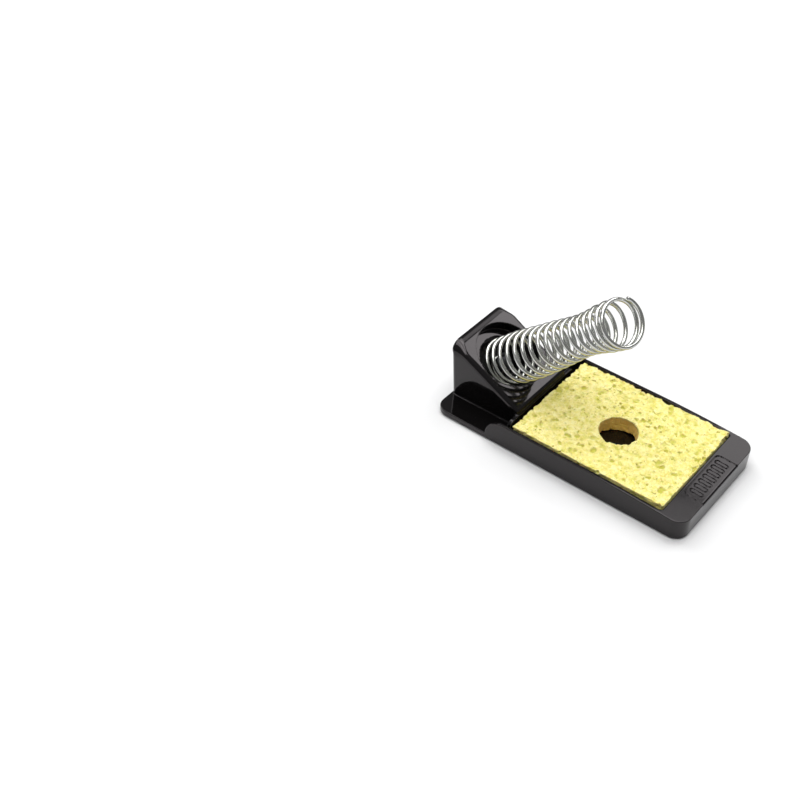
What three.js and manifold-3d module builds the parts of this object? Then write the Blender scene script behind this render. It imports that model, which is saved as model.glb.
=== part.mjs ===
// Bench stand for a soldering iron: a moulded base with a sponge tray and a
// wedge-shaped block, and a steel coil that the iron is pushed into.
//
// Millimetres, +Z up. X is the width, +Y runs from the front panel to the
// block at the rear. The origin is on the bench, under the middle of the base.

import * as THREE from "three";
import { mergeVertices } from "three/addons/utils/BufferGeometryUtils.js";
import Module from "manifold-3d";

// ---------------------------------------------------------------- dimensions

const FOOT_PROUD = 0.75; // how far the feet lift the skirt off the bench

// base moulding, heights counted from the bottom edge of its skirt
const BASE_W = 80;
const FRONT_Y = -81;
const REAR_END = 81.5;
const CORNER_R = 8;
const WALL_TOP = 15;
const WALL_T = 2;
const PANEL_BACK_Y = -66.5; // where the front panel meets the tray
const PANEL_FRONT_Z = 13.5; // the panel falls towards the front edge
const LEDGE_Z = 3.3; // low ledge around the block
const RAMP_R = 11.7; // convex end of each side wall
const WALL_END_Y = 34.3;
const TRAY_FLOOR = 5;
const DAM_FRONT_Y = 33.6; // low dam that closes the tray at the rear
const DAM_T = 2.4;
const DAM_TOP = 12;
const DAM_HALF = 33;
const SHELL = 2.2;

// block
const BLOCK_HALF = 24.1; // at the ledge
const BLOCK_FLARE = 1.1 / 36; // how much each side widens per mm of height
const BLOCK_R = 3; // its long rounded edges
const SLOPE_DEG = 29.5;
const SLOPE_Y0 = 33;
const SLOPE_Z0 = 13.8; // height of the sloping face at SLOPE_Y0
const BLOCK_FRONT_Y = 34.4;
const REAR_Y = 81.4; // rear wall at the ledge, leaning back to REAR_TOP_Y
const REAR_TOP_Y = 82.85;
const CROWN_Y = 77.2; // where the sloping face starts to round over to the top
const CROWN_R = 10.8;

// round seat for the coil
const BORE_R = 20.7; // shallow counterbore, square to the sloping face
const BORE_DEPTH = 6.5;
const BORE_Y = 59.4;
const POCKET_R = 16.2; // deeper pocket, along the coil's axis
const POCKET_FLOOR_S = -9.5;
const BOSS_H = 0.6;

// coil: s is the distance along its axis, 0 where the axis passes the block's face
const WIRE_D = 2.4;
const WIRE_SIDES = 6;
const STEPS_PER_TURN = 14;
const TAIL_S = -7.25; // plane of the tail turn
const EYE_R = 3.5; // mean radius of the eye that the screw goes through
const MOUTH_ANGLE = 45; // where the wire ends at the mouth, degrees
const AXIS = [
  // s, y, z
  [-12, 66.8, 16.9],
  [0, 57.9, 24.7],
  [24, 39.95, 40.5],
  [48, 22.5, 57.0],
  [72, 5.0, 73.5],
  [92, -9.9, 86.6],
];
const OUTER_R = [
  // s, outer radius of the coil
  [-8, 15.0],
  [0, 15.15],
  [10, 15.35],
  [20, 15.1],
  [30, 14.4],
  [42, 13.6],
  [54, 12.6],
  [63, 12.05],
  [72, 12.6],
  [80, 13.75],
  [90, 14.4],
];
const TURNS = [
  // turns back from the mouth, s
  [0, 89.9],
  [1, 87.0],
  [2, 82.7],
  [3, 77.4],
  [4, 71.9],
  [5, 66.2],
  [10, 36.4],
  [15, 5.3],
  [16.4, -3.0],
  [17.2, TAIL_S],
];
const TILT = [
  // turns back from the mouth, degrees that the turn leans to one side
  [0, 7.2],
  [1, 6.8],
  [2, -1.5],
  [3, -6.3],
  [4, -5.5],
  [6, -3],
  [9, 0],
  [19, 0],
];
const COIL_TURNS = 17.2;
const SPIRAL_TURNS = 0.8; // tail turning in to the eye
const EYE_TURNS = 0.8;

// sponge
const SPONGE_X0 = -36.4;
const SPONGE_X1 = 37.4;
const SPONGE_Y0 = -66.2;
const SPONGE_Y1 = 30.2;
const SPONGE_T = 10;
const SPONGE_HOLE_R = 11;
const SPONGE_HOLE_X = -1.4;
const SPONGE_HOLE_Y = -17.5;

// steel plate under the base, its screws and the feet
const PLATE_Z0 = 0.25;
const PLATE_T = 1.5;
const PLATE_INSET = 2.6;
const PLATE_SCREWS = [
  [-31, -72.5],
  [31, -72.5],
  [-17, 72.5],
  [17, 72.5],
];
const FEET = [
  [-30, -60],
  [30, -60],
  [-30, 68],
  [30, 68],
];
const FOOT_R = 5;
const GAP = 0.3;

// ------------------------------------------------------------------- helpers

const wasm = await Module();
wasm.setup();

function toSolid(geometry) {
  const g = geometry.clone();
  for (const key of Object.keys(g.attributes))
    if (key !== "position") g.deleteAttribute(key);
  const merged = mergeVertices(g, 1e-4);
  const index = merged.index.array;
  const tris = [];
  for (let i = 0; i < index.length; i += 3) {
    const [a, b, c] = [index[i], index[i + 1], index[i + 2]];
    if (a !== b && b !== c && c !== a) tris.push(a, b, c);
  }
  return new wasm.Manifold(
    new wasm.Mesh({
      numProp: 3,
      vertProperties: new Float32Array(merged.attributes.position.array),
      triVerts: new Uint32Array(tris),
    }),
  );
}

function toGeometry(solid) {
  const mesh = solid.getMesh();
  const n = mesh.numProp;
  const xyz = new Float32Array(mesh.numVert * 3);
  for (let i = 0; i < mesh.numVert; i++)
    xyz.set(mesh.vertProperties.subarray(i * n, i * n + 3), i * 3);
  const g = new THREE.BufferGeometry();
  g.setAttribute("position", new THREE.BufferAttribute(xyz, 3));
  g.setIndex(new THREE.BufferAttribute(new Uint32Array(mesh.triVerts), 1));
  g.computeVertexNormals();
  return g;
}

const extrude = (shape, depth, curveSegments = 6) =>
  new THREE.ExtrudeGeometry(shape, {
    depth,
    bevelEnabled: false,
    curveSegments,
  });

// outline in x and y, raised from z0 to z1
const prismZ = (shape, z0, z1, segments) =>
  toSolid(extrude(shape, z1 - z0, segments).translate(0, 0, z0));

// outline in y and z, swept along x
const prismX = (shape, x0, x1, segments) =>
  toSolid(
    extrude(shape, x1 - x0, segments)
      .applyMatrix4(
        new THREE.Matrix4().set(0, 0, 1, 0, 1, 0, 0, 0, 0, 1, 0, 0, 0, 0, 0, 1),
      )
      .translate(x0, 0, 0),
  );

function roundedRect(x0, x1, y0, y1, r) {
  const s = new THREE.Shape();
  s.moveTo(x0 + r, y0);
  s.lineTo(x1 - r, y0);
  s.absarc(x1 - r, y0 + r, r, -Math.PI / 2, 0, false);
  s.lineTo(x1, y1 - r);
  s.absarc(x1 - r, y1 - r, r, 0, Math.PI / 2, false);
  s.lineTo(x0 + r, y1);
  s.absarc(x0 + r, y1 - r, r, Math.PI / 2, Math.PI, false);
  s.lineTo(x0, y0 + r);
  s.absarc(x0 + r, y0 + r, r, Math.PI, 1.5 * Math.PI, false);
  return s;
}

const polygon = (points) =>
  new THREE.Shape(points.map(([u, v]) => new THREE.Vector2(u, v)));

// turned piece: profile of [radius, height], height along +Z
const turned = (profile, segments = 24) =>
  new THREE.LatheGeometry(
    profile.map(([r, h]) => new THREE.Vector2(r, h)),
    segments,
  ).rotateX(Math.PI / 2);

// smooth curve through [x, value, ...] rows
function hermite(rows, column = 1) {
  const n = rows.length;
  const slope = (i) => {
    if (i === 0)
      return (rows[1][column] - rows[0][column]) / (rows[1][0] - rows[0][0]);
    if (i === n - 1)
      return (
        (rows[n - 1][column] - rows[n - 2][column]) /
        (rows[n - 1][0] - rows[n - 2][0])
      );
    return (
      (rows[i + 1][column] - rows[i - 1][column]) /
      (rows[i + 1][0] - rows[i - 1][0])
    );
  };
  return (x) => {
    let i = 0;
    while (i < n - 2 && x > rows[i + 1][0]) i++;
    const h = rows[i + 1][0] - rows[i][0];
    const t = (x - rows[i][0]) / h;
    const [a, b, c, d] = [
      rows[i][column],
      slope(i) * h,
      rows[i + 1][column],
      slope(i + 1) * h,
    ];
    const t2 = t * t;
    const t3 = t2 * t;
    return (
      (2 * t3 - 3 * t2 + 1) * a +
      (t3 - 2 * t2 + t) * b +
      (3 * t2 - 2 * t3) * c +
      (t3 - t2) * d
    );
  };
}

// ---------------------------------------------------------- coil's axis frame

const axisY = hermite(AXIS, 1);
const axisZ = hermite(AXIS, 2);
const axisPoint = (s) => new THREE.Vector3(0, axisY(s), axisZ(s));
const axisDir = (s) =>
  axisPoint(s + 0.5)
    .sub(axisPoint(s - 0.5))
    .normalize();
const seatDir = axisDir(-6); // straight part of the axis, inside the block
const seatPoint = (s) => axisPoint(0).addScaledVector(seatDir, s);

// places a solid that is built along +Z on the seat's straight axis
function onSeat(geometry, s) {
  const q = new THREE.Quaternion().setFromUnitVectors(
    new THREE.Vector3(0, 0, 1),
    seatDir,
  );
  const p = seatPoint(s);
  return geometry.applyQuaternion(q).translate(p.x, p.y, p.z);
}

// ------------------------------------------------------------- base moulding

const tan = Math.tan((SLOPE_DEG * Math.PI) / 180);
const slopeZ = (y) => SLOPE_Z0 + (y - SLOPE_Y0) * tan;
const slopeNormal = new THREE.Vector3(
  0,
  -Math.sin((SLOPE_DEG * Math.PI) / 180),
  Math.cos((SLOPE_DEG * Math.PI) / 180),
);

// block from its side outline, with flared sides and rounded long edges
function blockSolid(inset, z0) {
  const half = BLOCK_HALF - inset;
  const slope = (SLOPE_DEG * Math.PI) / 180;
  const drop = inset / Math.cos(slope);
  const yf = BLOCK_FRONT_Y + inset;
  const crownY = CROWN_Y + CROWN_R * Math.sin(slope);
  const crownZ = slopeZ(CROWN_Y) - CROWN_R * Math.cos(slope);
  const r = CROWN_R - inset;
  const crown = [29.5, 22, 15, 8, 2].map((deg) => {
    const a = (deg * Math.PI) / 180;
    return [crownY - r * Math.sin(a), crownZ + r * Math.cos(a)];
  });
  const top = crownZ + r;
  const yt = REAR_TOP_Y - inset;
  const side = polygon([
    [yf, z0],
    [REAR_Y - inset, z0],
    [yt, top - 1.2],
    [yt - 0.2, top - 0.45],
    ...crown.reverse().filter(([y]) => y < yt - 0.5),
    [yf + 2, slopeZ(yf + 2) - drop],
    [yf + 0.6, slopeZ(yf + 0.6) - drop - 0.4],
    [yf, slopeZ(yf) - drop - 1.6],
  ]);
  const wedge = prismX(side, -half, half);
  // outline seen along the slope's fall, which rounds the long edges
  const er = Math.max(BLOCK_R - inset, 0.8);
  const cut = new THREE.Shape();
  cut.moveTo(-half, -60);
  cut.lineTo(half, -60);
  cut.lineTo(half, -er);
  cut.absarc(half - er, -er, er, 0, Math.PI / 2, false);
  cut.lineTo(-half + er, 0);
  cut.absarc(-half + er, -er, er, Math.PI / 2, Math.PI, false);
  cut.lineTo(-half, -60);
  const along = extrude(cut, 120, 6);
  // local x stays x, local y becomes the face's normal, local z runs up the slope
  const up = new THREE.Vector3(0, -slopeNormal.z, slopeNormal.y).negate();
  const m = new THREE.Matrix4().makeBasis(
    new THREE.Vector3(1, 0, 0),
    slopeNormal,
    new THREE.Vector3(1, 0, 0).cross(slopeNormal),
  );
  m.setPosition(
    new THREE.Vector3(0, SLOPE_Y0, SLOPE_Z0 - drop).addScaledVector(up, 90),
  );
  const sleeve = toSolid(along.applyMatrix4(m));
  const plan = prismZ(
    roundedRect(-half, half, yf - 6, yt, Math.max(BLOCK_R - inset, 0.8)),
    z0,
    60,
    4,
  );
  return wedge
    .intersect(sleeve)
    .intersect(plan)
    .warp((v) => {
      v[0] *= 1 + (BLOCK_FLARE * (v[2] - LEDGE_Z)) / BLOCK_HALF;
    });
}

function baseMoulding() {
  const hw = BASE_W / 2;
  // side outline of walls and front panel
  const ramp = [];
  for (let i = 0; i <= 8; i++) {
    const a = (i / 8) * (Math.PI / 2);
    ramp.push([
      WALL_END_Y + RAMP_R * Math.cos(a),
      LEDGE_Z + RAMP_R * Math.sin(a),
    ]);
  }
  const outline = polygon([
    [FRONT_Y, 0],
    [REAR_END, 0],
    [REAR_END, LEDGE_Z],
    ...ramp,
    [PANEL_BACK_Y - 1, WALL_TOP],
    [FRONT_Y + 1.2, PANEL_FRONT_Z],
    [FRONT_Y + 0.35, PANEL_FRONT_Z - 0.35],
    [FRONT_Y, PANEL_FRONT_Z - 1.2],
  ]);
  const plan = roundedRect(-hw, hw, FRONT_Y, REAR_END, CORNER_R);
  let base = prismX(outline, -hw, hw).intersect(
    prismZ(plan, -1, WALL_TOP + 1, 6),
  );

  // tray, open at the rear until the dam closes it
  const tray = roundedRect(
    -hw + WALL_T,
    hw - WALL_T,
    PANEL_BACK_Y,
    DAM_FRONT_Y,
    2.5,
  );
  base = base.subtract(prismZ(tray, TRAY_FLOOR, WALL_TOP + 2, 3));
  // everything behind the tray comes down to the ledge between the side walls
  const behind = roundedRect(-hw + WALL_T, hw - WALL_T, DAM_FRONT_Y - 4, 60, 1);
  base = base.subtract(prismZ(behind, LEDGE_Z, WALL_TOP + 2, 3));

  // tray floor and dam across the rear
  const rearFloor = polygon([
    [DAM_FRONT_Y - 4.2, 2.5],
    [DAM_FRONT_Y + 0.2, 2.5],
    [DAM_FRONT_Y + 0.2, TRAY_FLOOR],
    [DAM_FRONT_Y - 4.2, TRAY_FLOOR],
  ]);
  base = base.add(prismX(rearFloor, -hw + 1, hw - 1));
  const dam = new THREE.Shape();
  dam.moveTo(-DAM_HALF, 2.5);
  dam.lineTo(DAM_HALF, 2.5);
  dam.lineTo(DAM_HALF, DAM_TOP - 4.5);
  dam.absarc(DAM_HALF - 4.5, DAM_TOP - 4.5, 4.5, 0, Math.PI / 2, false);
  dam.lineTo(-DAM_HALF + 4.5, DAM_TOP);
  dam.absarc(-DAM_HALF + 4.5, DAM_TOP - 4.5, 4.5, Math.PI / 2, Math.PI, false);
  // outline in x and z, swept along y
  const damSolid = toSolid(
    extrude(dam, DAM_T, 5)
      .rotateX(Math.PI / 2)
      .translate(0, DAM_FRONT_Y + DAM_T, 0),
  );
  base = base.add(damSolid);

  // block
  base = base.add(blockSolid(0, 1));

  // framed field on the front panel, with plain grip bars in it
  const pitch = (WALL_TOP - PANEL_FRONT_Z) / (PANEL_BACK_Y - 1 - FRONT_Y - 1.2);
  const panelZ = (y) => WALL_TOP + (y - PANEL_BACK_Y + 1) * pitch;
  const shear = new THREE.Matrix4().set(
    1, 0, 0, 0,
    0, 1, 0, 0,
    0, pitch, 1, WALL_TOP - (PANEL_BACK_Y - 1) * pitch,
    0, 0, 0, 1,
  );
  const field = extrude(roundedRect(-18.6, 18.6, -79.2, -68.6, 2.2), 1, 4)
    .translate(0, 0, -0.35)
    .applyMatrix4(shear);
  base = base.subtract(toSolid(field));
  for (let i = -3; i <= 3; i++) {
    const bar = extrude(
      roundedRect(i * 4.6 - 0.9, i * 4.6 + 0.9, -77.6, -70.2, 0.88),
      0.9,
      4,
    )
      .translate(0, 0, -0.9)
      .applyMatrix4(shear);
    base = base.add(toSolid(bar));
  }
  void panelZ;

  // seat for the coil
  const n = slopeNormal;
  const boreCentre = new THREE.Vector3(0, BORE_Y, slopeZ(BORE_Y));
  const bore = new THREE.CylinderGeometry(BORE_R, BORE_R, BORE_DEPTH + 20, 48)
    .rotateX(Math.PI / 2)
    .translate(0, 0, (BORE_DEPTH + 20) / 2 - BORE_DEPTH)
    .applyQuaternion(
      new THREE.Quaternion().setFromUnitVectors(new THREE.Vector3(0, 0, 1), n),
    )
    .translate(boreCentre.x, boreCentre.y, boreCentre.z);
  const pocket = onSeat(
    new THREE.CylinderGeometry(POCKET_R, POCKET_R, 40, 40)
      .rotateX(Math.PI / 2)
      .translate(0, 0, 20),
    POCKET_FLOOR_S,
  );
  base = base.subtract(toSolid(bore)).subtract(toSolid(pocket));
  const boss = onSeat(
    turned([[0, -0.5], [6, -0.5], [6, BOSS_H], [0, BOSS_H]], 24),
    POCKET_FLOOR_S,
  );
  base = base.add(toSolid(boss));

  // hollow underside: under the tray, the panel and the block
  const inner = roundedRect(
    -hw + SHELL,
    hw - SHELL,
    FRONT_Y + SHELL,
    REAR_END - SHELL,
    CORNER_R - SHELL,
  );
  const plateTop = PLATE_Z0 + PLATE_T + GAP;
  base = base.subtract(prismZ(inner, -2, plateTop, 6));
  const underTray = roundedRect(-hw + 4, hw - 4, PANEL_BACK_Y + 2, 28, 2);
  base = base.subtract(prismZ(underTray, 1, TRAY_FLOOR - 1.9, 3));
  const underPanel = roundedRect(-24, 24, FRONT_Y + 3, PANEL_BACK_Y - 2.2, 1.5);
  base = base.subtract(prismZ(underPanel, 1, WALL_TOP - 4, 3));
  let hollow = blockSolid(SHELL, 0.5);
  const seatWall = onSeat(
    new THREE.CylinderGeometry(POCKET_R + 2, POCKET_R + 2, 60, 32)
      .rotateX(Math.PI / 2)
      .translate(0, 0, 30),
    POCKET_FLOOR_S - 2,
  );
  const boreWall = new THREE.CylinderGeometry(BORE_R + 6, BORE_R + 6, 40, 32)
    .rotateX(Math.PI / 2)
    .translate(0, 0, 20 - BORE_DEPTH - 2)
    .applyQuaternion(
      new THREE.Quaternion().setFromUnitVectors(new THREE.Vector3(0, 0, 1), n),
    )
    .translate(boreCentre.x, boreCentre.y, boreCentre.z);
  const screwBoss = onSeat(
    new THREE.CylinderGeometry(4.2, 4.2, 14, 20)
      .rotateX(Math.PI / 2)
      .translate(0, 0, -6),
    POCKET_FLOOR_S,
  );
  hollow = hollow
    .subtract(toSolid(seatWall))
    .subtract(toSolid(boreWall))
    .subtract(toSolid(screwBoss));
  for (const [x, y] of PLATE_SCREWS.slice(2))
    hollow = hollow.subtract(
      toSolid(
        new THREE.CylinderGeometry(3.4, 3.4, 40, 20)
          .rotateX(Math.PI / 2)
          .translate(x, y, 20 + plateTop),
      ),
    );
  base = base.subtract(hollow);

  // screw holes, a little wider than the screws
  for (const [x, y] of PLATE_SCREWS)
    base = base.subtract(
      toSolid(
        new THREE.CylinderGeometry(1.75, 1.75, 9, 16)
          .rotateX(Math.PI / 2)
          .translate(x, y, 4.5 + PLATE_Z0),
      ),
    );
  base = base.subtract(
    toSolid(
      onSeat(
        new THREE.CylinderGeometry(1.85, 1.85, 14, 16)
          .rotateX(Math.PI / 2)
          .translate(0, 0, -4),
        POCKET_FLOOR_S,
      ),
    ),
  );
  return base;
}

// ---------------------------------------------------------------------- coil

function coilGeometry() {
  const sOfTurn = hermite(TURNS);
  const outer = hermite(OUTER_R);
  const tiltOf = hermite(TILT);
  const path = []; // from the eye to the mouth: s, mean radius, angle
  const end = (MOUTH_ANGLE * Math.PI) / 180;
  const total = COIL_TURNS + SPIRAL_TURNS + EYE_TURNS;
  const steps = Math.round(total * STEPS_PER_TURN);
  const tailR = outer(TAIL_S) - WIRE_D / 2;
  for (let i = 0; i <= steps; i++) {
    const back = total - (i / steps) * total; // turns back from the mouth
    const angle = end - back * 2 * Math.PI;
    let s;
    let r;
    if (back <= COIL_TURNS) {
      s = sOfTurn(back);
      r = outer(s) - WIRE_D / 2;
    } else if (back <= COIL_TURNS + SPIRAL_TURNS) {
      const k = (back - COIL_TURNS) / SPIRAL_TURNS;
      const e = k * k * (3 - 2 * k);
      s = TAIL_S;
      r = tailR + (EYE_R - tailR) * e;
    } else {
      s = TAIL_S;
      r = EYE_R;
    }
    path.push({ s, r, angle, tilt: (tiltOf(back) * Math.PI) / 180 });
  }
  const points = path.map(({ s, r, angle, tilt }) => {
    const dir = axisDir(s);
    const up = new THREE.Vector3(1, 0, 0).cross(dir).negate();
    // a leaning turn moves on its right side only
    const side = new THREE.Vector3(Math.cos(tilt), 0, 0).addScaledVector(
      dir,
      Math.sin(tilt),
    );
    const radial = side
      .multiplyScalar(Math.cos(angle))
      .addScaledVector(up, Math.sin(angle));
    return {
      p: axisPoint(s)
        .addScaledVector(dir, r * Math.sin(tilt))
        .addScaledVector(radial, r),
      radial,
    };
  });
  const rings = [];
  points.forEach(({ p, radial }, i) => {
    const a = points[Math.max(i - 1, 0)].p;
    const b = points[Math.min(i + 1, points.length - 1)].p;
    const t = b.clone().sub(a).normalize();
    const u = radial.clone().addScaledVector(t, -radial.dot(t)).normalize();
    const v = t.clone().cross(u);
    // a faceted wire that keeps the round wire's volume
    const rw =
      (WIRE_D / 2) *
      Math.sqrt(
        (2 * Math.PI) / (WIRE_SIDES * Math.sin((2 * Math.PI) / WIRE_SIDES)),
      ) *
      0.98;
    const ring = [];
    for (let k = 0; k < WIRE_SIDES; k++) {
      const c = ((k + 0.5) / WIRE_SIDES) * 2 * Math.PI;
      ring.push(
        p
          .clone()
          .addScaledVector(u, rw * Math.cos(c))
          .addScaledVector(v, rw * Math.sin(c)),
      );
    }
    rings.push(ring);
  });
  const xyz = [];
  const index = [];
  for (const ring of rings) for (const q of ring) xyz.push(q.x, q.y, q.z);
  const n = WIRE_SIDES;
  for (let i = 0; i < rings.length - 1; i++)
    for (let k = 0; k < n; k++) {
      const a = i * n + k;
      const b = i * n + ((k + 1) % n);
      const c = a + n;
      const d = b + n;
      index.push(a, b, d, a, d, c);
    }
  const last = (rings.length - 1) * n;
  for (let k = 1; k < n - 1; k++) {
    index.push(0, k + 1, k);
    index.push(last, last + k, last + k + 1);
  }
  const g = new THREE.BufferGeometry();
  g.setAttribute(
    "position",
    new THREE.BufferAttribute(new Float32Array(xyz), 3),
  );
  g.setIndex(index);
  g.computeVertexNormals();
  return g;
}

// --------------------------------------------------------------------- other

function spongeGeometry() {
  const s = roundedRect(SPONGE_X0, SPONGE_X1, SPONGE_Y0, SPONGE_Y1, 1.5);
  const hole = new THREE.Path();
  hole.absarc(SPONGE_HOLE_X, SPONGE_HOLE_Y, SPONGE_HOLE_R, 0, Math.PI * 2, true);
  s.holes.push(hole);
  return extrude(s, SPONGE_T, 10).translate(0, 0, TRAY_FLOOR + GAP);
}

function plateSolid() {
  const s = roundedRect(
    -BASE_W / 2 + PLATE_INSET,
    BASE_W / 2 - PLATE_INSET,
    FRONT_Y + PLATE_INSET,
    REAR_END - PLATE_INSET,
    CORNER_R - PLATE_INSET,
  );
  let plate = prismZ(s, PLATE_Z0, PLATE_Z0 + PLATE_T, 5);
  for (const [x, y] of PLATE_SCREWS) {
    const hole = turned(
      [
        [0, -1],
        [3.2, -1],
        [3.2, 0.05],
        [1.9, 1.35],
        [1.9, 3],
        [0, 3],
      ],
      20,
    ).translate(x, y, PLATE_Z0);
    plate = plate.subtract(toSolid(hole));
  }
  return plate;
}

// countersunk self-tapping screw with a cross recess, head down
function plateScrewSolid() {
  const body = toSolid(
    turned(
      [
        [0, 0],
        [2.75, 0],
        [2.75, 0.15],
        [1.45, 1.45],
        [1.45, 6.6],
        [0.4, 8.2],
        [0, 8.2],
      ],
      20,
    ),
  );
  const slot = () => new THREE.BoxGeometry(2.8, 0.7, 1.4);
  return body
    .subtract(toSolid(slot()))
    .subtract(toSolid(slot().rotateZ(Math.PI / 2)));
}

// soft foot: a low dome with a flat that stands on the bench
const footGeometry = () =>
  turned(
    [
      [0, -FOOT_PROUD],
      [FOOT_R - 1.1, -FOOT_PROUD],
      [FOOT_R - 0.35, -FOOT_PROUD + 0.35],
      [FOOT_R, PLATE_Z0],
      [0, PLATE_Z0],
    ],
    24,
  );

const washerGeometry = () =>
  turned(
    [
      [1.9, 0],
      [5.6, 0],
      [5.6, 0.8],
      [5.3, 1],
      [1.9, 1],
      [1.9, 0],
    ],
    28,
  );

// pan-head screw with a cross recess, head towards +Z, its underside at 0
function retainerScrewSolid() {
  const body = toSolid(
    turned(
      [
        [0, -11],
        [0.5, -11],
        [1.5, -9.4],
        [1.5, 0],
        [3.3, 0],
        [3.3, 1.2],
        [2.9, 1.9],
        [1.8, 2.4],
        [0, 2.5],
      ],
      24,
    ),
  );
  const slot = () => new THREE.BoxGeometry(3.4, 0.8, 2.4).translate(0, 0, 2.4);
  return body
    .subtract(toSolid(slot()))
    .subtract(toSolid(slot().rotateZ(Math.PI / 2)));
}

// ------------------------------------------------------------------ assembly

const black = (roughness) =>
  new THREE.MeshStandardMaterial({
    color: 0x17171a,
    roughness,
    metalness: 0,
  });
const steel = (color, roughness) =>
  new THREE.MeshStandardMaterial({ color, roughness, metalness: 1 });

function node(parent, name, geometry, material) {
  const mesh = new THREE.Mesh(geometry, material);
  mesh.name = name;
  parent.add(mesh);
  return mesh;
}

const stand = new THREE.Group();
stand.name = "soldering_iron_stand";
const body = new THREE.Group();
body.position.z = FOOT_PROUD;
stand.add(body);

node(body, "base_moulding", toGeometry(baseMoulding()), black(0.25));
node(body, "holder_spring", coilGeometry(), steel(0xd8dad6, 0.25));
node(
  body,
  "sponge",
  spongeGeometry(),
  new THREE.MeshStandardMaterial({
    color: 0xf3ea96,
    roughness: 0.95,
    metalness: 0,
  }),
);

// the eye of the coil is clamped on its boss by a washer and a screw
const seat = new THREE.Group();
seat.position.copy(seatPoint(TAIL_S + WIRE_D / 2 + 0.5));
seat.quaternion.setFromUnitVectors(new THREE.Vector3(0, 0, 1), seatDir);
body.add(seat);
node(seat, "retainer_washer", washerGeometry(), steel(0xc8c8c4, 0.35));
node(
  seat,
  "retainer_screw",
  toGeometry(retainerScrewSolid()),
  steel(0xb8b8b4, 0.3),
).position.z = 1 + GAP;

node(body, "ballast_plate", toGeometry(plateSolid()), steel(0x8f9294, 0.45));
const screw = toGeometry(plateScrewSolid());
PLATE_SCREWS.forEach(([x, y], i) => {
  node(body, `plate_screw_${i + 1}`, screw, steel(0xa9a9a6, 0.35)).position.set(
    x,
    y,
    PLATE_Z0,
  );
});
FEET.forEach(([x, y], i) => {
  node(
    body,
    `rubber_foot_${i + 1}`,
    footGeometry(),
    new THREE.MeshStandardMaterial({
      color: 0x202020,
      roughness: 0.9,
      metalness: 0,
    }),
  ).position.set(x, y, 0);
});

export default stand;
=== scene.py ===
import math

import bpy
import numpy as np
from mathutils import Matrix, Vector


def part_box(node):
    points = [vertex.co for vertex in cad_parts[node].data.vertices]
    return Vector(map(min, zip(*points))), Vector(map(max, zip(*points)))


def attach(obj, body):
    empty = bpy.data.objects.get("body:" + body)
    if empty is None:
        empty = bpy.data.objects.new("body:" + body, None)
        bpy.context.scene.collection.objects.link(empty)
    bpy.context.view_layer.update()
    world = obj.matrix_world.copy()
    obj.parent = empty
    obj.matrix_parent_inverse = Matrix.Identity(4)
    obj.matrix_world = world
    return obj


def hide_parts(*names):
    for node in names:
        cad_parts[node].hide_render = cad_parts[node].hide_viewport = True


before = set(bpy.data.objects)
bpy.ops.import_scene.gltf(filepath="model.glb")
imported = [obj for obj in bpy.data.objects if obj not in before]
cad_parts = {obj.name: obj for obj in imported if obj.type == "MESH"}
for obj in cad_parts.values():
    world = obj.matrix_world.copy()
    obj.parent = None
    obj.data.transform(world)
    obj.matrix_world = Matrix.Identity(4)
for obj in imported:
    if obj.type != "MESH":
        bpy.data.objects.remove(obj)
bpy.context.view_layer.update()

# All shapes are worked out in millimetres, heights counted from the bottom
# edge of the base's skirt, and go to metres in the row frame at the end.
FOOT_PROUD = -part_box("rubber_foot_1")[0].z * 1000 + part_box("base_moulding")[0].z * 1000


def to_row(points):
    p = np.asarray(points, float).copy()
    p[:, 2] += FOOT_PROUD
    return p / 1000.0


# ------------------------------------------------------------ distance fields

def length(*c):
    s = 0.0
    for a in c:
        s = s + a * a
    return np.sqrt(s)


def rect2(u, v, u0, u1, v0, v1, r):
    """Distance to a rounded rectangle in the u, v plane, negative inside."""
    qu = np.abs(u - (u0 + u1) / 2) - (u1 - u0) / 2 + r
    qv = np.abs(v - (v0 + v1) / 2) - (v1 - v0) / 2 + r
    return (
        length(np.maximum(qu, 0), np.maximum(qv, 0))
        + np.minimum(np.maximum(qu, qv), 0)
        - r
    )


def join(a, b, r):
    """Union with a concave fillet of radius r where a and b meet."""
    u, v = np.maximum(r - a, 0), np.maximum(r - b, 0)
    return np.maximum(r, np.minimum(a, b)) - length(u, v)


def meet(a, b, r):
    """Intersection with a rounded edge of radius r."""
    u, v = np.maximum(r + a, 0), np.maximum(r + b, 0)
    return np.minimum(-r, np.maximum(a, b)) + length(u, v)


def smooth(t):
    t = np.clip(t, 0, 1)
    return t * t * (3 - 2 * t)


def gradient(f, p, e=0.01):
    g = np.empty_like(p)
    for k in range(3):
        hi, lo = p.copy(), p.copy()
        hi[:, k] += e
        lo[:, k] -= e
        g[:, k] = (f(*hi.T) - f(*lo.T)) / (2 * e)
    return g


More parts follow.
